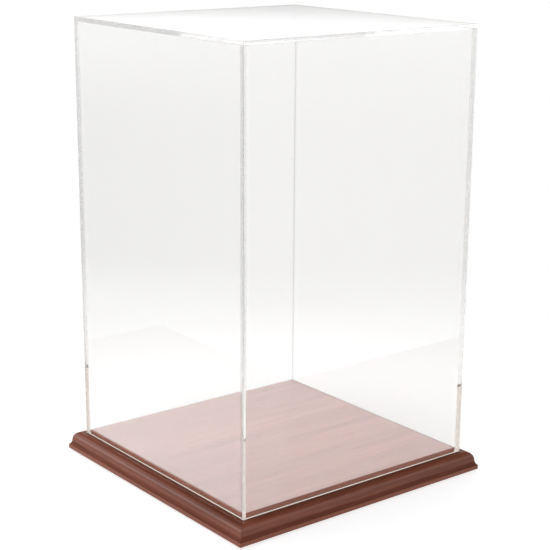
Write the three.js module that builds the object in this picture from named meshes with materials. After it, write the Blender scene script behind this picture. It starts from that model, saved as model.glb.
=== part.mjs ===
// Tall clear acrylic display case: a five-sided lift-off cover that stands on
// the ledge of a lacquered wooden base, around its raised platform.
// Millimetres, +Z up. The origin is under the middle of the base, on the
// surface that the pads stand on.
import * as THREE from "three";

// ---- Driving dimensions -------------------------------------------------
// Cover: butt-jointed sheet, with the front and back panels lapping the ends
// of the side panels, and the top panel lying on all four.
const COVER_WIDTH = 240;
const COVER_DEPTH = 240;
const COVER_HEIGHT = 376;
const SHEET = 4;
const EDGE_CHAMFER = 0.3;

// Base: a board whose top is the platform, framed by four mitred rails that
// stop short of its top and so leave a ledge. Heights are above its underside.
const PLATFORM_HEIGHT = 20;
const PLATFORM_CLEARANCE = 0.5;
const PLATFORM_CHAMFER = 0.6;
const LEDGE_HEIGHT = 16;
const MITRE_GAP = 0.3;

// Rail moulding, outward of the cover's face: flat ledge, quarter-round
// (an elliptical ovolo), short cove, rounded foot.
const LEDGE_REACH = 3.7;
const OVOLO_RUN = 5.9;
const OVOLO_DROP = 8;
const COVE_RUN = 1.9;
const COVE_DROP = 3.9;
const COVE_SAG = 0.25;
const FOOT_ROUND = 0.5;
const OVOLO_STEPS = 12;
const COVE_STEPS = 4;

// Felt pads, stuck under the board near its corners.
const PAD_DIAMETER = 20;
const PAD_THICKNESS = 1.5;
const PAD_INSET = 16;
const PAD_SIDES = 48;

// ---- Worked-out dimensions ----------------------------------------------
const INNER_WIDTH = COVER_WIDTH - 2 * SHEET;
const INNER_DEPTH = COVER_DEPTH - 2 * SHEET;
const WALL_HEIGHT = COVER_HEIGHT - SHEET;
const WALL_MIDDLE = LEDGE_HEIGHT + WALL_HEIGHT / 2;
const PLATFORM_WIDTH = INNER_WIDTH - 2 * PLATFORM_CLEARANCE;
const PLATFORM_DEPTH = INNER_DEPTH - 2 * PLATFORM_CLEARANCE;

// ---- Materials ----------------------------------------------------------
const acrylic = new THREE.MeshStandardMaterial({
  color: 0xf2f6f5,
  roughness: 0.04,
  metalness: 0,
  transparent: true,
  opacity: 0.25,
});
const platformWood = new THREE.MeshStandardMaterial({
  color: 0x6e3a2c,
  roughness: 0.18,
  metalness: 0,
});
const railWood = new THREE.MeshStandardMaterial({
  color: 0x5e2c20,
  roughness: 0.22,
  metalness: 0,
});
const felt = new THREE.MeshStandardMaterial({
  color: 0x2b2724,
  roughness: 0.95,
  metalness: 0,
});

// ---- Geometry helpers ---------------------------------------------------

// A closed solid from rings of equal length, each joined to the next, with
// flat fans closing the first and last ring. Rings run counter-clockwise
// seen from the side that the last ring faces.
function loft(rings) {
  const count = rings[0].length;
  const positions = rings.flat(2);
  const indices = [];
  for (let ring = 0; ring + 1 < rings.length; ring++) {
    for (let i = 0; i < count; i++) {
      const next = (i + 1) % count;
      const a = ring * count + i;
      const b = ring * count + next;
      indices.push(a, b, b + count);
      indices.push(a, b + count, a + count);
    }
  }
  const outline = rings[0].map(([x, y, z]) => new THREE.Vector3(x, y, z));
  const last = (rings.length - 1) * count;
  for (const [a, b, c] of capTriangles(outline)) {
    indices.push(c, b, a);
    indices.push(last + a, last + b, last + c);
  }
  const geometry = new THREE.BufferGeometry();
  geometry.setAttribute("position", new THREE.Float32BufferAttribute(positions, 3));
  geometry.setIndex(indices);
  geometry.computeVertexNormals();
  return geometry;
}

// Triangles that fill a flat outline, with its own winding kept. The outline
// is flattened onto the coordinate plane that it faces most squarely.
function capTriangles(outline) {
  const normal = new THREE.Vector3();
  for (let i = 0; i < outline.length; i++) {
    const here = outline[i];
    const next = outline[(i + 1) % outline.length];
    normal.add(new THREE.Vector3().crossVectors(here, next));
  }
  const size = normal.toArray().map(Math.abs);
  const drop = size.indexOf(Math.max(...size));
  const across = (drop + 1) % 3;
  const along = (drop + 2) % 3;
  const flat = outline.map((p) => {
    const xyz = p.toArray();
    return new THREE.Vector2(xyz[across], xyz[along]);
  });
  const wanted = Math.sign(normal.toArray()[drop]);
  return THREE.ShapeUtils.triangulateShape(flat, []).map(([a, b, c]) => {
    const ab = new THREE.Vector2().subVectors(flat[b], flat[a]);
    const ac = new THREE.Vector2().subVectors(flat[c], flat[a]);
    return ab.cross(ac) * wanted > 0 ? [a, b, c] : [a, c, b];
  });
}

// A rectangle in the XY plane, counter-clockwise seen from above.
function rectangle(width, depth, z) {
  const x = width / 2;
  const y = depth / 2;
  return [[-x, -y, z], [x, -y, z], [x, y, z], [-x, y, z]];
}

// ---- Cover --------------------------------------------------------------

function wallPanel(name, width, depth, x, y) {
  const mesh = new THREE.Mesh(new THREE.BoxGeometry(width, depth, WALL_HEIGHT), acrylic);
  mesh.name = name;
  mesh.position.set(x, y, WALL_MIDDLE);
  return mesh;
}

// The top panel's upper edge is eased all round, as cut sheet is.
function topPanel() {
  const easedWidth = COVER_WIDTH - 2 * EDGE_CHAMFER;
  const easedDepth = COVER_DEPTH - 2 * EDGE_CHAMFER;
  const geometry = loft([
    rectangle(COVER_WIDTH, COVER_DEPTH, 0),
    rectangle(COVER_WIDTH, COVER_DEPTH, SHEET - EDGE_CHAMFER),
    rectangle(easedWidth, easedDepth, SHEET),
  ]);
  const mesh = new THREE.Mesh(geometry, acrylic);
  mesh.name = "top_panel";
  mesh.position.z = LEDGE_HEIGHT + WALL_HEIGHT;
  return mesh;
}

function cover() {
  const group = new THREE.Group();
  const faceY = (COVER_DEPTH - SHEET) / 2;
  const faceX = (COVER_WIDTH - SHEET) / 2;
  group.add(wallPanel("front_panel", COVER_WIDTH, SHEET, 0, -faceY));
  group.add(wallPanel("back_panel", COVER_WIDTH, SHEET, 0, faceY));
  group.add(wallPanel("left_panel", SHEET, INNER_DEPTH, -faceX, 0));
  group.add(wallPanel("right_panel", SHEET, INNER_DEPTH, faceX, 0));
  group.add(topPanel());
  return group;
}

// ---- Base ---------------------------------------------------------------

function platformBoard() {
  const topWidth = PLATFORM_WIDTH - 2 * PLATFORM_CHAMFER;
  const topDepth = PLATFORM_DEPTH - 2 * PLATFORM_CHAMFER;
  const geometry = loft([
    rectangle(PLATFORM_WIDTH, PLATFORM_DEPTH, 0),
    rectangle(PLATFORM_WIDTH, PLATFORM_DEPTH, PLATFORM_HEIGHT - PLATFORM_CHAMFER),
    rectangle(topWidth, topDepth, PLATFORM_HEIGHT),
  ]);
  const mesh = new THREE.Mesh(geometry, platformWood);
  mesh.name = "platform_board";
  return mesh;
}

// The rail's section as [outward of the cover's face, height] points, from
// the inner bottom corner round by the foot and up over the moulding.
function railSection() {
  const inner = -(SHEET + PLATFORM_CLEARANCE);
  const ovoloFoot = LEDGE_REACH + OVOLO_RUN;
  const ovoloBase = LEDGE_HEIGHT - OVOLO_DROP;
  const coveFoot = ovoloFoot + COVE_RUN;
  const coveBase = ovoloBase - COVE_DROP;
  const outer = coveFoot + FOOT_ROUND;
  const section = [[inner, 0], [outer, 0], [outer, coveBase - FOOT_ROUND]];
  for (let step = 0; step <= COVE_STEPS; step++) {
    const t = step / COVE_STEPS;
    const hollow = COVE_SAG * Math.sin(Math.PI * t);
    section.push([coveFoot - t * COVE_RUN - hollow, coveBase + t * COVE_DROP - hollow]);
  }
  for (let step = 1; step <= OVOLO_STEPS; step++) {
    const angle = (Math.PI / 2) * (step / OVOLO_STEPS);
    const out = LEDGE_REACH + OVOLO_RUN * Math.cos(angle);
    section.push([out, ovoloBase + OVOLO_DROP * Math.sin(angle)]);
  }
  section.push([inner, LEDGE_HEIGHT]);
  return section;
}

// One rail: its section is carried from mitre to mitre, so each point ends
// as far along the rail as it stands out from the centre, less half the gap
// between the two mitred faces.
function rail(facing) {
  const section = railSection();
  const shortening = (MITRE_GAP / 2) * Math.SQRT2;
  const end = (side) =>
    section.map(([out, z]) => {
      const reach = COVER_WIDTH / 2 + out;
      const along = side * (reach - shortening);
      return {
        front: [along, -reach, z],
        back: [-along, reach, z],
        left: [-reach, -along, z],
        right: [reach, along, z],
      }[facing];
    });
  const mesh = new THREE.Mesh(loft([end(1), end(-1)]), railWood);
  mesh.name = `${facing}_rail`;
  return mesh;
}

function pad(name, x, y) {
  const radius = PAD_DIAMETER / 2;
  const geometry = new THREE.CylinderGeometry(radius, radius, PAD_THICKNESS, PAD_SIDES);
  const mesh = new THREE.Mesh(geometry, felt);
  mesh.name = name;
  mesh.rotation.x = Math.PI / 2;
  mesh.position.set(x, y, -PAD_THICKNESS / 2);
  return mesh;
}

function base() {
  const group = new THREE.Group();
  group.add(platformBoard());
  for (const facing of ["front", "back", "left", "right"]) {
    group.add(rail(facing));
  }
  const padX = PLATFORM_WIDTH / 2 - PAD_INSET;
  const padY = PLATFORM_DEPTH / 2 - PAD_INSET;
  for (const [row, y] of [["front", -padY], ["back", padY]]) {
    for (const [side, x] of [["left", -padX], ["right", padX]]) {
      group.add(pad(`${row}_${side}_pad`, x, y));
    }
  }
  return group;
}

// ---- Object -------------------------------------------------------------
const displayCase = new THREE.Group();
displayCase.position.z = PAD_THICKNESS;
displayCase.add(base());
displayCase.add(cover());

export default displayCase;
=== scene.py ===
import math

import bmesh
import bpy
from mathutils import Matrix, Vector, noise


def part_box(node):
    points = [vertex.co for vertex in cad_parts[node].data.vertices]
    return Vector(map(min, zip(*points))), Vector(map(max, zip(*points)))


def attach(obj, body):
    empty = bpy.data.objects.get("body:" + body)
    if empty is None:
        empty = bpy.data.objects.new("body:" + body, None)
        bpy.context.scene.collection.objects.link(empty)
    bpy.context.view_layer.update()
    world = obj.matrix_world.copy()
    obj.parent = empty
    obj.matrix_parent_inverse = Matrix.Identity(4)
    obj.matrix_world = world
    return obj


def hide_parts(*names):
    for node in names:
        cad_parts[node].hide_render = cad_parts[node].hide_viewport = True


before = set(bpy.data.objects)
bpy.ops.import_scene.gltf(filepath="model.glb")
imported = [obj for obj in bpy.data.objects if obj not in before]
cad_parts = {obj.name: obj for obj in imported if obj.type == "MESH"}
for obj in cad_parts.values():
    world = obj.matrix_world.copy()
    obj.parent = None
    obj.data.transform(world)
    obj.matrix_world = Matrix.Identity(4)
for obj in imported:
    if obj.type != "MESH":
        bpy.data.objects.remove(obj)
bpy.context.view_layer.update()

# ---- Camera ---------------------------------------------------------------
CAMERA_PLACE = Vector((-0.7475, -0.9597, 0.4996))
VIEW_AZIMUTH = math.radians(-38.48)
VIEW_ELEVATION = math.radians(15.37)
VIEW_ROLL = math.radians(0.47)
FOCAL_LENGTH = 94.25
SENSOR_WIDTH = 36
SHIFT_X = -0.018
SHIFT_Y = 0.0164
CLIP_START = 0.01
CLIP_END = 100

# ---- Dimensions that model.glb doesn't give, in metres --------------------
MM = 0.001
SHEET_EASING = 0.25 * MM
EASING_STEPS = 3
REST_GAP = 0.03 * MM
ARRIS_ROUND = 0.6 * MM
ARRIS_STEPS = 5
MITRE_GAP = 0.06 * MM
LEDGE_REACH = 3.7 * MM
OVOLO_RUN = 5.9 * MM
OVOLO_DROP = 8 * MM
OVOLO_STEPS = 28
COVE_RUN = 1.9 * MM
COVE_DROP = 3.9 * MM
COVE_SAG = 0.25 * MM
COVE_STEPS = 8
FOOT_ROUND = 0.5 * MM
FOOT_ROUND_STEPS = 4
PAD_EDGE = 0.35 * MM
PAD_FUZZ = 0.12 * MM
PAD_SIDES = 96

WALLS = ("front", "back", "left", "right")
LAPPING_WALLS = ("front", "back")
RAILS_BY_GRAIN = (("X", ("front", "back")), ("Y", ("left", "right")))
RAIL_TURNS = {"front": 0, "right": 1, "back": 2, "left": 3}
PADS = ("front_left_pad", "front_right_pad", "back_left_pad", "back_right_pad")

# Where a mix node keeps its colours among its many sockets
MIX_A, MIX_B, MIX_RESULT = 6, 7, 2


# ---- Node helpers -----------------------------------------------------------
class Nodes:
    """A node tree, with short calls for the nodes used here."""

    def __init__(self, tree):
        self.tree = tree
        tree.nodes.clear()

    def node(self, kind, **settings):
        made = self.tree.nodes.new(kind)
        for key, value in settings.items():
            setattr(made, key, value)
        return made

    def wire(self, source, target):
        self.tree.links.new(source, target)

    def feed(self, target, value):
        """A socket takes a link from another socket, or a plain value."""
        if isinstance(value, bpy.types.NodeSocket):
            self.wire(value, target)
        else:
            target.default_value = value

    def place(self, scale, turn=(0, 0, 0)):
        """The object's own coordinates, scaled alike or by axis."""
        coordinates = self.node("ShaderNodeTexCoord")
        mapping = self.node("ShaderNodeMapping")
        self.wire(coordinates.outputs["Object"], mapping.inputs["Vector"])
        if isinstance(scale, (int, float)):
            scale = (scale, scale, scale)
        mapping.inputs["Scale"].default_value = scale
        mapping.inputs["Rotation"].default_value = turn
        return mapping.outputs["Vector"]

    def noise(self, vector, detail=2.0, roughness=0.5, distortion=0.0):
        made = self.node("ShaderNodeTexNoise")
        self.wire(vector, made.inputs["Vector"])
        made.inputs["Scale"].default_value = 1.0
        made.inputs["Detail"].default_value = detail
        made.inputs["Roughness"].default_value = roughness
        made.inputs["Distortion"].default_value = distortion
        return made.outputs["Fac"]

    def spread(self, value, low, high, to_low=0.0, to_high=1.0, smooth=False):
        """Maps low..high to to_low..to_high and holds the ends."""
        made = self.node("ShaderNodeMapRange")
        made.interpolation_type = "SMOOTHSTEP" if smooth else "LINEAR"
        self.feed(made.inputs["Value"], value)
        made.inputs["From Min"].default_value = low
        made.inputs["From Max"].default_value = high
        made.inputs["To Min"].default_value = to_low
        made.inputs["To Max"].default_value = to_high
        return made.outputs["Result"]

    def math(self, operation, a, b):
        made = self.node("ShaderNodeMath", operation=operation)
        self.feed(made.inputs[0], a)
        self.feed(made.inputs[1], b)
        return made.outputs["Value"]

    def ramp(self, value, stops):
        made = self.node("ShaderNodeValToRGB")
        self.wire(value, made.inputs["Fac"])
        elements = made.color_ramp.elements
        while len(elements) < len(stops):
            elements.new(0.5)
        for element, (position, colour) in zip(elements, stops):
            element.position = position
            element.color = (*colour, 1)
        return made.outputs["Color"]

    def blend(self, share, a, b):
        made = self.node("ShaderNodeMix", data_type="RGBA")
        self.feed(made.inputs["Factor"], share)
        self.feed(made.inputs[MIX_A], a)
        self.feed(made.inputs[MIX_B], b)
        return made.outputs[MIX_RESULT]

    def bump(self, height, distance, strength, normal=None):
        made = self.node("ShaderNodeBump")
        self.wire(height, made.inputs["Height"])
        made.inputs["Distance"].default_value = distance
        made.inputs["Strength"].default_value = strength
        if normal is not None:
            self.wire(normal, made.inputs["Normal"])
        return made.outputs["Normal"]

    def principled(self, **values):
        made = self.node("ShaderNodeBsdfPrincipled")
        for key, value in values.items():
            self.feed(made.inputs[key.replace("_", " ")], value)
        return made.outputs["BSDF"]

    def mix(self, share, a, b):
        """Shader a, with a share of shader b."""
        made = self.node("ShaderNodeMixShader")
        self.wire(share, made.inputs[0])
        self.wire(a, made.inputs[1])
        self.wire(b, made.inputs[2])
        return made.outputs["Shader"]

    def centre_distance(self):
        """How far a point is from the upright line through the origin."""
        length = self.node("ShaderNodeVectorMath", operation="LENGTH")
        self.wire(self.place((1, 1, 0)), length.inputs[0])
        return length.outputs["Value"]


class Shader(Nodes):
    """A material's node tree."""

    def __init__(self, name):
        self.material = bpy.data.materials.new(name)
        self.material.use_nodes = True
        super().__init__(self.material.node_tree)
        self.output = self.node("ShaderNodeOutputMaterial")

    def show(self, shader):
        self.wire(shader, self.output.inputs["Surface"])
        return self.material


# ---- Materials --------------------------------------------------------------
# A texture's scale is in features per metre, and its relief is how high it
# stands. Noise lies mostly between 0.3 and 0.7, and a band is the part of it
# that counts.
NOISE_SPAN = (0.3, 0.7)
NOISE_MIDDLE = (0.35, 0.65)

ACRYLIC_IOR = 1.49
SHEET_TINT = (0.964, 0.961, 0.957, 1)
WAVE_SCALE = (14, 14, 9)
WAVE_RELIEF = 0.05 * MM
HAZE_SCALE = (26, 26, 18)
HAZE_BAND = (0.5, 0.72)
WIPE_SCALE = (90, 90, 320)
WIPE_TURN = (0.5, 0.4, 0.3)
WIPE_RELIEF = 0.002 * MM


def sheet_material():
    """Polished cast acrylic: a trace of waviness, and faint wiping marks."""
    s = Shader("acrylic_sheet")
    wave = s.noise(s.place(WAVE_SCALE), detail=1.0)
    haze = s.noise(s.place(HAZE_SCALE), detail=4.0, roughness=0.6)
    wipes = s.noise(s.place(WIPE_SCALE, WIPE_TURN), detail=3.0)
    marks = s.math("MULTIPLY", s.spread(haze, *HAZE_BAND), wipes)
    waviness = s.bump(wave, WAVE_RELIEF, strength=0.12)
    return s.show(s.principled(
        Base_Color=SHEET_TINT,
        Roughness=0.0,
        IOR=ACRYLIC_IOR,
        Transmission_Weight=1.0,
        Normal=s.bump(marks, WIPE_RELIEF, strength=0.3, normal=waviness),
    ))


CUT_EDGE_TINT = (0.74, 0.735, 0.73, 1)
CUT_EDGE_ROUGHNESS = (0.1, 0.16)
CUT_EDGE_CLOUD_SCALE = 60
CUT_EDGE_CLOUD_BAND = (0.35, 0.7)
CUTTER_SCALE = (40, 40, 2600)
CUTTER_RELIEF = 0.0003 * MM


def edge_material():
    """A cut edge, satin: cutter lines run over it, and its sheen varies."""
    s = Shader("acrylic_edge")
    lines = s.noise(s.place(CUTTER_SCALE), detail=2.0)
    cloud = s.noise(s.place(CUT_EDGE_CLOUD_SCALE), detail=3.0)
    return s.show(s.principled(
        Base_Color=CUT_EDGE_TINT,
        Roughness=s.spread(cloud, *CUT_EDGE_CLOUD_BAND, *CUT_EDGE_ROUGHNESS),
        IOR=ACRYLIC_IOR,
        Transmission_Weight=1.0,
        Normal=s.bump(lines, CUTTER_RELIEF, strength=0.2),
    ))


SAWN_TONES = ((0.42, 0.37, 0.33), (0.48, 0.43, 0.39))
SAWN_ROUGHNESS = 0.8
# Painted glow: the sawn edge emits light of its own, in place of light piped through the sheet
SAWN_PAINTED_GLOW_COLOUR = (1.0, 0.88, 0.8, 1)
SAWN_PAINTED_GLOW = 0.6
SAW_SCALE = 120


def foot_material():
    """The sawn bottom edge: matt, with a painted glow, a plain emission that stands in for
    light from the sheet.
    """
    s = Shader("acrylic_sawn_foot")
    saw = s.noise(s.place(SAW_SCALE), detail=2.0)
    dark, light = SAWN_TONES
    return s.show(s.principled(
        Base_Color=s.ramp(s.spread(saw, *NOISE_MIDDLE), [(0.0, dark), (1.0, light)]),
        Roughness=SAWN_ROUGHNESS,
        Specular_IOR_Level=0.0,
        # painted glow: a plain emission, though the edge is no lamp
        Emission_Color=SAWN_PAINTED_GLOW_COLOUR,
        Emission_Strength=SAWN_PAINTED_GLOW,
    ))


CEMENT_TINT = (0.95, 0.948, 0.944, 1)
CEMENT_HAZE_TONE = (0.85, 0.86, 0.86, 1)
CEMENT_HAZE_ROUGHNESS = 0.4
CEMENT_HAZE_SHARE = 0.02
CEMENT_CLOUD_SCALE = 45
CEMENT_CLOUD_BAND = (0.4, 0.7)
BUBBLE_SCALE = 300
BUBBLE_EDGE = (0.04, 0.10)  # where a bubble starts to fade and ends, from its middle
BUBBLE_SHARE = 0.15


def joint_material():
    """A cemented face: light passes straight on, but for haze and bubbles."""
    s = Shader("acrylic_joint")
    bubbles = s.node("ShaderNodeTexVoronoi")
    s.wire(s.place(BUBBLE_SCALE), bubbles.inputs["Vector"])
    bubbles.inputs["Scale"].default_value = 1.0
    spots = s.spread(bubbles.outputs["Distance"], *BUBBLE_EDGE, BUBBLE_SHARE, 0.0)
    cloud = s.noise(s.place(CEMENT_CLOUD_SCALE), detail=3.0)
    haze = s.spread(cloud, *CEMENT_CLOUD_BAND, 0.0, CEMENT_HAZE_SHARE)
    clear = s.node("ShaderNodeBsdfTransparent")
    clear.inputs["Color"].default_value = CEMENT_TINT
    skin = s.principled(Base_Color=CEMENT_HAZE_TONE, Roughness=CEMENT_HAZE_ROUGHNESS,
                        Specular_IOR_Level=0.0)
    return s.show(s.mix(s.math("MAXIMUM", spots, haze), clear.outputs["BSDF"], skin))


# Heights on the moulding between which its painted shade, painted light and gloss change
FOOT_FADE = (4.6 * MM, 5.6 * MM)
HOLLOW_START = (5 * MM, 6 * MM)
HOLLOW_END = (8 * MM, 9.4 * MM)
LEDGE_FADE = (16.2 * MM, 17 * MM)

# Painted shade: a dark tone blended into the cove, where shade falls under the ovolo
HOLLOW_SHADE_TONE = (0.05, 0.014, 0.008, 1)
HOLLOW_PAINTED_SHADE = 0.35
HOLLOW_DULLNESS = 0.8
LEDGE_DULLNESS = 0.7
# Painted light: the foot is lightened as by light from the bright floor
FOOT_PAINTED_LIGHT = 0.4


def moulding_painted_shade_and_gloss(s, colour, light, coat):
    """Painted shade darkens the cove and painted light lightens the foot, and
    the lacquer is dull in the cove and on the ledge that the cover rubs."""
    split = s.node("ShaderNodeSeparateXYZ")
    s.wire(s.place(1), split.inputs[0])
    height = split.outputs["Z"]
    hollow = s.math("MULTIPLY", s.spread(height, *HOLLOW_START, smooth=True),
                    s.spread(height, *HOLLOW_END, 1.0, 0.0, smooth=True))
    foot = s.spread(height, *FOOT_FADE, 1.0, 0.0, smooth=True)
    ledge = s.spread(height, *LEDGE_FADE, smooth=True)
    # painted shade darkens the cove
    colour = s.blend(s.math("MULTIPLY", hollow, HOLLOW_PAINTED_SHADE), colour, HOLLOW_SHADE_TONE)
    # painted light lightens the foot
    colour = s.blend(s.math("MULTIPLY", foot, FOOT_PAINTED_LIGHT), colour, (*light, 1))
    dull = s.math("MAXIMUM", s.math("MULTIPLY", hollow, HOLLOW_DULLNESS),
                  s.math("MULTIPLY", ledge, LEDGE_DULLNESS))
    return colour, s.spread(dull, 0.0, 1.0, coat, 0.0)


# The platform is the rails' mahogany; its lighter tones are painted light, for the strong light
# that falls on it
PLATFORM_PAINTED_LIGHT_TONES = ((0.36, 0.096, 0.05), (0.45, 0.125, 0.067), (0.53, 0.16, 0.088))
RAIL_TONES = ((0.1, 0.027, 0.014), (0.175, 0.05, 0.028), (0.265, 0.082, 0.048))
WOOD_ROUGHNESS = (0.4, 0.6)
LACQUER_IOR = 1.5
LACQUER_ROUGHNESS = 0.16
LACQUER_PEEL_SCALE = 420
LACQUER_PEEL_RELIEF = 0.01 * MM

# The wood's scales are across the grain, and along it they are this share of that
GRAIN_STRETCH = 0.05
GROWTH_SCALE = 160
GROWTH_SHARE = 0.5
FIBRE_SCALE = 620
FIBRE_SHARE = 0.2
PORE_SCALE = 2300
PORE_BAND = (0.62, 0.72)
PORE_SHARE = 0.55
PORE_DEPTH = 0.02 * MM
RIBBON_SCALE = 34

# The tones that take the darkest and the lightest colour: without the ribbon
# figure, and how much they rise with it
TONE_BAND = (0.3, 0.48)
FIGURE_RISE = (0.25, 0.75)


def wood_material(name, along, tones, figure, coat, moulded=False):
    """Stained mahogany under clear lacquer, its grain along X or Y."""
    s = Shader(name)
    dark, middle, light = tones
    stretch = Vector((1, 1, 1))
    stretch["XY".index(along)] = GRAIN_STRETCH
    growth = s.noise(s.place(stretch * GROWTH_SCALE), detail=5.0, roughness=0.6, distortion=0.5)
    fibre = s.noise(s.place(stretch * FIBRE_SCALE), detail=4.0, roughness=0.65)
    pores = s.noise(s.place(stretch * PORE_SCALE), detail=2.0)
    ribbon = s.noise(s.place(stretch * RIBBON_SCALE), detail=3.0, distortion=0.8)
    tone = s.math("ADD", s.math("MULTIPLY", growth, GROWTH_SHARE),
                  s.math("MULTIPLY", fibre, FIBRE_SHARE))
    tone = s.math("ADD", tone, s.math("MULTIPLY", ribbon, figure))
    band = [tone_end + rise * figure for tone_end, rise in zip(TONE_BAND, FIGURE_RISE)]
    colour = s.ramp(s.spread(tone, *band), [(0.0, dark), (0.5, middle), (1.0, light)])
    pore_mask = s.spread(pores, *PORE_BAND)
    colour = s.blend(s.math("MULTIPLY", pore_mask, PORE_SHARE), colour, (*dark, 1))
    gloss = coat
    # the moulding gets painted shade in its cove and painted light on its foot
    if moulded:
        colour, gloss = moulding_painted_shade_and_gloss(s, colour, light, coat)
    peel = s.noise(s.place(LACQUER_PEEL_SCALE), detail=1.0)
    sunk = s.bump(s.math("MULTIPLY", pore_mask, -1.0), PORE_DEPTH, strength=0.35)
    return s.show(s.principled(
        Base_Color=colour,
        Roughness=s.spread(fibre, *NOISE_SPAN, *WOOD_ROUGHNESS),
        IOR=LACQUER_IOR,
        Specular_IOR_Level=0.0,
        Coat_Weight=gloss,
        Coat_Roughness=LACQUER_ROUGHNESS,
        Coat_IOR=LACQUER_IOR,
        Normal=s.bump(peel, LACQUER_PEEL_RELIEF, strength=0.3, normal=sunk),
    ))


FELT_TONES = ((0.018, 0.015, 0.013), (0.055, 0.048, 0.042), (0.11, 0.1, 0.09))
FELT_ROUGHNESS = (0.85, 1.0)
FELT_FIBRE_SCALE = 2600
FELT_FIBRE_SHARE = 0.7
FELT_MOTTLE_SCALE = 500
FELT_MOTTLE_SHARE = 0.3
FELT_RELIEF = 0.15 * MM


def felt_material():
    """Dark felt: matted fibres, in patches a little lighter or darker."""
    s = Shader("felt")
    fibres = s.noise(s.place(FELT_FIBRE_SCALE), detail=4.0, roughness=0.7, distortion=1.5)
    mottle = s.noise(s.place(FELT_MOTTLE_SCALE), detail=2.0)
    shade = s.math("ADD", s.math("MULTIPLY", fibres, FELT_FIBRE_SHARE),
                   s.math("MULTIPLY", mottle, FELT_MOTTLE_SHARE))
    dark, middle, light = FELT_TONES
    return s.show(s.principled(
        Base_Color=s.ramp(s.spread(shade, *NOISE_MIDDLE),
                          [(0.0, dark), (0.6, middle), (1.0, light)]),
        Roughness=s.spread(fibres, *NOISE_SPAN, *FELT_ROUGHNESS),
        Sheen_Weight=0.3,
        Sheen_Roughness=0.5,
        Normal=s.bump(fibres, FELT_RELIEF, strength=0.8),
    ))


# ---- Mesh helpers -----------------------------------------------------------
SMOOTH_ANGLE = math.radians(35)
FLAT = 0.99999  # a face this square to an axis is a true flat, and is shaded as one
SQUARE = 0.99  # a face this square to an axis counts as facing it
NEAR = 1e-6


def near(a, b):
    return abs(a - b) < NEAR


def add_object(name, bm, materials):
    bmesh.ops.recalc_face_normals(bm, faces=bm.faces)
    mesh = bpy.data.meshes.new(name)
    bm.to_mesh(mesh)
    bm.free()
    for material in materials:
        mesh.materials.append(material)
    mesh.set_sharp_from_angle(angle=SMOOTH_ANGLE)
    for face in mesh.polygons:
        face.use_smooth = max(abs(part) for part in face.normal) < FLAT
    piece = bpy.data.objects.new(name, mesh)
    bpy.context.scene.collection.objects.link(piece)
    return piece


def box_mesh(lo, hi):
    bm = bmesh.new()
    bmesh.ops.create_cube(bm, size=1.0)
    middle, size = (lo + hi) / 2, hi - lo
    for v in bm.verts:
        v.co = middle + Vector(a * b for a, b in zip(v.co, size))
    return bm


def round_edges(bm, chosen, radius, segments):
    edges = [e for e in bm.edges if chosen(e.verts[0].co, e.verts[1].co)]
    bmesh.ops.bevel(bm, geom=edges, offset=radius, offset_type="OFFSET",
                    segments=segments, profile=0.5, affect="EDGES")


def cut(bm, axis, place):
    """Adds a loop of edges where a plane crosses the mesh."""
    point, normal = Vector(), Vector()
    point[axis] = place
    normal[axis] = 1
    geometry = bm.verts[:] + bm.edges[:] + bm.faces[:]
    bmesh.ops.bisect_plane(bm, geom=geometry, plane_co=point, plane_no=normal)


def stand_for(piece, node, body):
    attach(piece, body)
    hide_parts(node)


# ---- Cover ------------------------------------------------------------------
# Places in the cover's list of materials; the sheet itself is first, at 0
EDGE, JOINT, FOOT = 1, 2, 3


def wall_panel(name, materials):
    """A wall: its top is cemented, and so is each place where walls meet."""
    lo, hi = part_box(f"{name}_panel")
    lo.z += REST_GAP
    lapping = name in LAPPING_WALLS
    thin, wide = (1, 0) if lapping else (0, 1)
    outer = max(abs(lo[thin]), abs(hi[thin]))
    inner = outer - (hi[thin] - lo[thin])
    bm = box_mesh(lo, hi)

    def eased(a, b):
        bottom = near(a.z, lo.z) and near(b.z, lo.z)
        corner = lapping and near(abs(a[thin]), outer) and near(abs(b[thin]), outer)
        upright = near(a[wide], b[wide]) and not near(a.z, b.z)
        along = near(a[thin], b[thin])
        return (bottom and along) or (corner and upright)

    round_edges(bm, eased, SHEET_EASING, EASING_STEPS)
    if lapping:
        for side in (-1, 1):
            cut(bm, wide, side * inner)
    for face in bm.faces:
        middle = face.calc_center_median()
        flat = abs(face.normal[thin]) > SQUARE
        butted = not lapping and abs(face.normal[wide]) > SQUARE
        lapped = (lapping and flat and near(abs(middle[thin]), inner)
                  and abs(middle[wide]) > inner)
        if near(middle.z, hi.z) or butted or lapped:
            face.material_index = JOINT
        elif near(middle.z, lo.z):
            face.material_index = FOOT
        elif not flat:
            face.material_index = EDGE
    return add_object(f"{name}_clear_panel", bm, materials)


def top_panel(materials):
    """The top: its underside is cemented to the walls round its border."""
    lo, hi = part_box("top_panel")
    sheet = hi.z - lo.z
    bm = box_mesh(lo, hi)
    round_edges(bm, lambda a, b: near(a.z, hi.z) and near(b.z, hi.z),
                SHEET_EASING, EASING_STEPS)
    round_edges(bm, lambda a, b: near(a.x, b.x) and near(a.y, b.y),
                SHEET_EASING, EASING_STEPS)
    for side in (-1, 1):
        cut(bm, 0, side * (hi.x - sheet))
        cut(bm, 1, side * (hi.y - sheet))
    for face in bm.faces:
        middle = face.calc_center_median()
        border = abs(middle.x) > hi.x - sheet or abs(middle.y) > hi.y - sheet
        if abs(face.normal.z) < SQUARE:
            face.material_index = EDGE
        elif border and near(middle.z, lo.z):
            face.material_index = JOINT
    return add_object("top_clear_panel", bm, materials)


def build_cover():
    materials = [
        sheet_material(),
        edge_material(),
        joint_material(),
        foot_material(),
    ]
    for name in WALLS:
        stand_for(wall_panel(name, materials), f"{name}_panel", "cover")
    stand_for(top_panel(materials), "top_panel", "cover")


# ---- Base -------------------------------------------------------------------
def quarter_turn(steps):
    return [math.pi / 2 * i / steps for i in range(steps + 1)]


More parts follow.
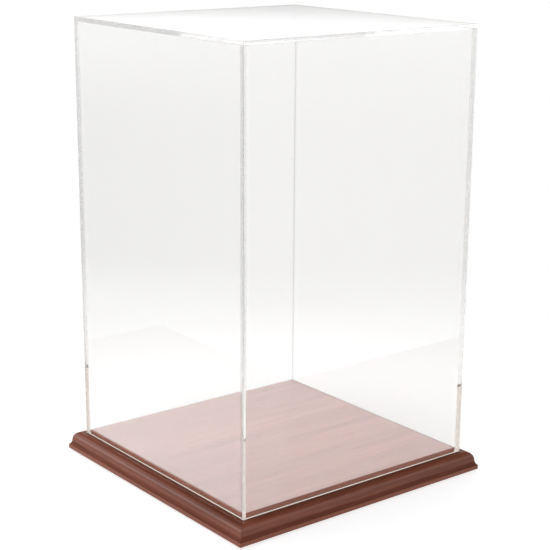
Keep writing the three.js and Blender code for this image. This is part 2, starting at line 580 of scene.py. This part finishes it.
def rail_section(inner, face, bottom, top):
    """The moulding as (distance from the centre, height) points."""
    ledge_end = face + LEDGE_REACH
    ovolo_foot = ledge_end + OVOLO_RUN
    ovolo_base = top - OVOLO_DROP
    cove_foot = ovolo_foot + COVE_RUN
    cove_base = ovolo_base - COVE_DROP
    outer = cove_foot + FOOT_ROUND
    foot_turn = quarter_turn(FOOT_ROUND_STEPS)
    points = [(inner, bottom), (outer - FOOT_ROUND, bottom)]
    for t in foot_turn[1:]:
        points.append((outer - FOOT_ROUND * (1 - math.sin(t)),
                       bottom + FOOT_ROUND * (1 - math.cos(t))))
    for t in foot_turn[:-1]:
        points.append((outer - FOOT_ROUND * (1 - math.cos(t)),
                       cove_base - FOOT_ROUND * (1 - math.sin(t))))
    for i in range(COVE_STEPS + 1):
        t = i / COVE_STEPS
        hollow = COVE_SAG * math.sin(math.pi * t)
        points.append((cove_foot - t * COVE_RUN - hollow, cove_base + t * COVE_DROP - hollow))
    for t in quarter_turn(OVOLO_STEPS)[1:]:
        points.append((ledge_end + OVOLO_RUN * math.cos(t),
                       ovolo_base + OVOLO_DROP * math.sin(t)))
    points.append((inner, top))
    return points


def rail(name, material):
    """A length of moulding, cut at 45 degrees where it meets its neighbours."""
    lo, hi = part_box(f"{name}_rail")
    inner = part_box("platform_board")[1].x
    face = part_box("front_panel")[1].x
    section = rail_section(inner, face, lo.z, hi.z)
    rotation = Matrix.Rotation(RAIL_TURNS[name] * math.pi / 2, 3, "Z")
    bm = bmesh.new()
    ends = []
    for side in (-1, 1):
        ends.append([bm.verts.new(rotation @ Vector((side * (reach - MITRE_GAP), -reach, z)))
                     for reach, z in section])
    left, right = ends
    for i in range(len(section)):
        j = (i + 1) % len(section)
        bm.faces.new((left[i], right[i], right[j], left[j]))
    bm.faces.new(left)
    bm.faces.new(list(reversed(right)))
    return add_object(f"{name}_moulded_rail", bm, [material])


def board(material):
    lo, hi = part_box("platform_board")
    bm = box_mesh(lo, hi)
    round_edges(bm, lambda a, b: near(a.z, hi.z) and near(b.z, hi.z), ARRIS_ROUND, ARRIS_STEPS)
    return add_object("platform_wood_board", bm, [material])


PAD_SHOULDER = 0.3  # how far in the rounded edge's middle is, as a share of it
PAD_RIM = 0.9  # only points past this share of the radius are hairy
FUZZ_ROUND = 9  # how fast the fuzz varies round the rim
FUZZ_UP = 2000  # how fast it varies with height, per metre
FUZZ_APART = 70  # how far apart the pads are in the noise, so that they differ


def pad(node, material):
    """A felt disc with soft, slightly hairy edges."""
    lo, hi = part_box(node)
    centre = (lo + hi) / 2
    radius = (hi.x - lo.x) / 2 - PAD_FUZZ
    shoulder = PAD_SHOULDER * PAD_EDGE
    lower_half = [(0, lo.z), (radius / 2, lo.z), (radius - PAD_EDGE, lo.z),
                  (radius - shoulder, lo.z + shoulder), (radius, lo.z + PAD_EDGE)]
    upper_half = [(radius, hi.z - PAD_EDGE), (radius - shoulder, hi.z - shoulder),
                  (radius - PAD_EDGE, hi.z), (radius / 2, hi.z), (0, hi.z)]
    bm = bmesh.new()

    def rim_point(r, z, angle):
        spot = Vector((math.cos(angle) * FUZZ_ROUND, math.sin(angle) * FUZZ_ROUND, z * FUZZ_UP))
        spot += centre * FUZZ_APART
        reach = r
        if r > radius * PAD_RIM:
            reach += PAD_FUZZ * noise.noise(spot)
        return bm.verts.new((centre.x + reach * math.cos(angle),
                             centre.y + reach * math.sin(angle), z))

    rings = []
    for r, z in lower_half + [(radius, lo.z + (hi.z - lo.z) / 2)] + upper_half:
        if r == 0:
            rings.append([bm.verts.new((centre.x, centre.y, z))])
        else:
            rings.append([rim_point(r, z, 2 * math.pi * i / PAD_SIDES)
                          for i in range(PAD_SIDES)])
    for low, high in zip(rings, rings[1:]):
        for i in range(PAD_SIDES):
            j = (i + 1) % PAD_SIDES
            if len(low) == 1:
                bm.faces.new((low[0], high[j], high[i]))
            elif len(high) == 1:
                bm.faces.new((low[i], low[j], high[0]))
            else:
                bm.faces.new((low[i], low[j], high[j], high[i]))
    return add_object(f"{node}_felt", bm, [material])


def build_base():
    # the platform's lighter tones are painted light
    top = wood_material("mahogany_platform", "X", PLATFORM_PAINTED_LIGHT_TONES, figure=0.45, coat=1.0)
    stand_for(board(top), "platform_board", "base")
    for along, names in RAILS_BY_GRAIN:
        wood = wood_material(f"mahogany_rail_{along.lower()}", along, RAIL_TONES,
                             figure=0.35, coat=0.55, moulded=True)
        for name in names:
            stand_for(rail(name, wood), f"{name}_rail", "base")
    felt = felt_material()
    for node in PADS:
        stand_for(pad(node, felt), node, "base")


# ---- Studio -----------------------------------------------------------------
DISC_SIDES = 96
FLOOR_RADIUS = 25
FLOOR_TONE = (0.4, 0.4, 0.4, 1)
FLOOR_FADE = (0.24, 0.55)  # distances between which the floor's glow changes
FLOOR_GLOW = (0.73, 0.56)  # its strength near the case, and far off
FLAG_RADIUS = 4.3
FLAG_HEIGHT = 0.0005
FLAG_START = (0.62, 0.92)  # distances over which the flag sets in
FLAG_END = (1.7, 4.2)  # and over which it fades
FLAG_TONE = (0.05, 0.05, 0.05, 1)
WHITE = (1, 1, 1, 1)

# The lights: the way each lies, and its strength
BACK_WAY = (0.23, 0.97, 0)
BACK_STRENGTH = (2.75, 5.3)  # at its low and high ends
BACK_CLIMB = (0.3, 0.45)  # heights over which one turns into the other
LEFT_WAY = (-0.97, -0.24, 0)
LEFT_STRENGTH = 1.65
FRONT_WAY = (0.1, -0.99, 0)
FRONT_STRENGTH = 0.6
LEFT_SHEEN_WAY = (-0.62, 0.78, 0)
LEFT_SHEEN_STRENGTH = 2.6
FRONT_SHEEN_WAY = (0.6, -0.71, 0.37)
FRONT_SHEEN_STRENGTH = 1.5
OVERHEAD_WAY = (-0.2, 0.15, 0.968)
OVERHEAD_STRENGTH = 2.4
OVERHEAD_EDGE = (0.8, 0.95)
HORIZON_LEVEL = 0.8
DOME_LEVEL = 0.25
HORIZON_FADE = (0.0, 0.04)  # heights over which one turns into the other
RISE = 0.1  # how gently a light sets in from below
FALL = 0.7  # the share of its top height at which it starts to fade


def disc_mesh(radius, height):
    bm = bmesh.new()
    bmesh.ops.create_circle(bm, cap_ends=True, radius=radius, segments=DISC_SIDES)
    bmesh.ops.translate(bm, vec=(0, 0, height), verts=bm.verts)
    return bm


def studio_floor():
    """A pale matt floor: more than half its light is its own, most of all near the case."""
    s = Shader("studio_floor")
    glow = s.spread(s.centre_distance(), *FLOOR_FADE, *FLOOR_GLOW, smooth=True)
    s.show(s.principled(Base_Color=FLOOR_TONE, Roughness=1.0, Specular_IOR_Level=0.0,
                        Emission_Color=WHITE, Emission_Strength=glow))
    add_object("studio_floor", disc_mesh(FLOOR_RADIUS, 0), [s.material])


def studio_flag():
    """A dim ring on the floor that only reflections see, as the dark part of
    a studio: it gives the clear walls their soft grey."""
    s = Shader("studio_flag")
    away = s.centre_distance()
    ring = s.math("MULTIPLY", s.spread(away, *FLAG_START, smooth=True),
                  s.spread(away, *FLAG_END, 1.0, 0.0, smooth=True))
    clear = s.node("ShaderNodeBsdfTransparent").outputs["BSDF"]
    dim = s.principled(Base_Color=FLAG_TONE, Roughness=1.0, Specular_IOR_Level=0.0)
    s.show(s.mix(ring, clear, dim))
    flag = add_object("studio_flag", disc_mesh(FLAG_RADIUS, FLAG_HEIGHT), [s.material])
    for kind in ("camera", "diffuse", "transmission", "volume_scatter", "shadow"):
        setattr(flag, f"visible_{kind}", False)


def studio_light():
    """A dim dome, brighter at the horizon, with soft lights: one behind
    the case for the platform's sheen, two low ones on the left and in front,
    a small one for the sheen on each of two rails, and one overhead."""
    world = bpy.data.worlds.new("studio")
    bpy.context.scene.world = world
    world.use_nodes = True
    s = Nodes(world.node_tree)
    output = s.node("ShaderNodeOutputWorld")
    background = s.node("ShaderNodeBackground")
    direction = s.node("ShaderNodeTexCoord").outputs["Generated"]
    split = s.node("ShaderNodeSeparateXYZ")
    s.wire(direction, split.inputs[0])
    height = split.outputs["Z"]

    def facing(way):
        dot = s.node("ShaderNodeVectorMath", operation="DOT_PRODUCT")
        s.wire(direction, dot.inputs[0])
        dot.inputs[1].default_value = way
        return dot.outputs["Value"]

    def glow(way, strength, edge, low, high):
        """A soft-edged light between two heights: by the cosine to its way,
        it starts at one end of its edge and is full at the other."""
        reach = s.spread(facing(way), *edge, smooth=True)
        rise = s.spread(height, low, low + RISE, smooth=True)
        fall = s.spread(height, FALL * high, high, 1.0, 0.0, smooth=True)
        return s.math("MULTIPLY", s.math("MULTIPLY", rise, fall),
                      s.math("MULTIPLY", reach, strength))

    level = s.spread(height, *HORIZON_FADE, HORIZON_LEVEL, DOME_LEVEL, smooth=True)
    climb = s.spread(height, *BACK_CLIMB, *BACK_STRENGTH)
    for light in (
        glow(BACK_WAY, climb, edge=(0.4, 1.0), low=0.05, high=0.6),
        glow(LEFT_WAY, LEFT_STRENGTH, edge=(0.3, 0.8), low=-0.1, high=0.28),
        glow(LEFT_SHEEN_WAY, LEFT_SHEEN_STRENGTH, edge=(0.75, 0.93), low=-0.02, high=0.3),
        glow(FRONT_SHEEN_WAY, FRONT_SHEEN_STRENGTH, edge=(0.92, 0.985), low=0.15, high=0.7),
        glow(FRONT_WAY, FRONT_STRENGTH, edge=(0.3, 0.8), low=-0.1, high=0.28),
        s.spread(facing(OVERHEAD_WAY), *OVERHEAD_EDGE, 0.0, OVERHEAD_STRENGTH, smooth=True),
    ):
        level = s.math("ADD", level, light)
    s.wire(level, background.inputs["Strength"])
    background.inputs["Color"].default_value = WHITE
    s.wire(background.outputs["Background"], output.inputs["Surface"])


def studio_camera():
    data = bpy.data.cameras.new("camera")
    data.sensor_width = SENSOR_WIDTH
    data.lens = FOCAL_LENGTH
    data.shift_x = SHIFT_X
    data.shift_y = SHIFT_Y
    data.clip_start = CLIP_START
    data.clip_end = CLIP_END
    camera = bpy.data.objects.new("camera", data)
    bpy.context.scene.collection.objects.link(camera)
    camera.matrix_world = (Matrix.Translation(CAMERA_PLACE)
                           @ Matrix.Rotation(VIEW_AZIMUTH, 4, "Z")
                           @ Matrix.Rotation(math.pi / 2 - VIEW_ELEVATION, 4, "X")
                           @ Matrix.Rotation(VIEW_ROLL, 4, "Z"))
    bpy.context.scene.camera = camera


SHEET_BOUNCES = 128
TRANSPARENT_BOUNCES = 32


def light_paths():
    """Enough bounces for light to run the length of a sheet, and plain tones."""
    scene = bpy.context.scene
    scene.view_settings.view_transform = "Standard"
    scene.cycles.max_bounces = SHEET_BOUNCES
    scene.cycles.transmission_bounces = SHEET_BOUNCES
    scene.cycles.glossy_bounces = SHEET_BOUNCES
    scene.cycles.transparent_max_bounces = TRANSPARENT_BOUNCES


studio_camera()
build_cover()
build_base()
studio_floor()
studio_flag()
studio_light()
light_paths()
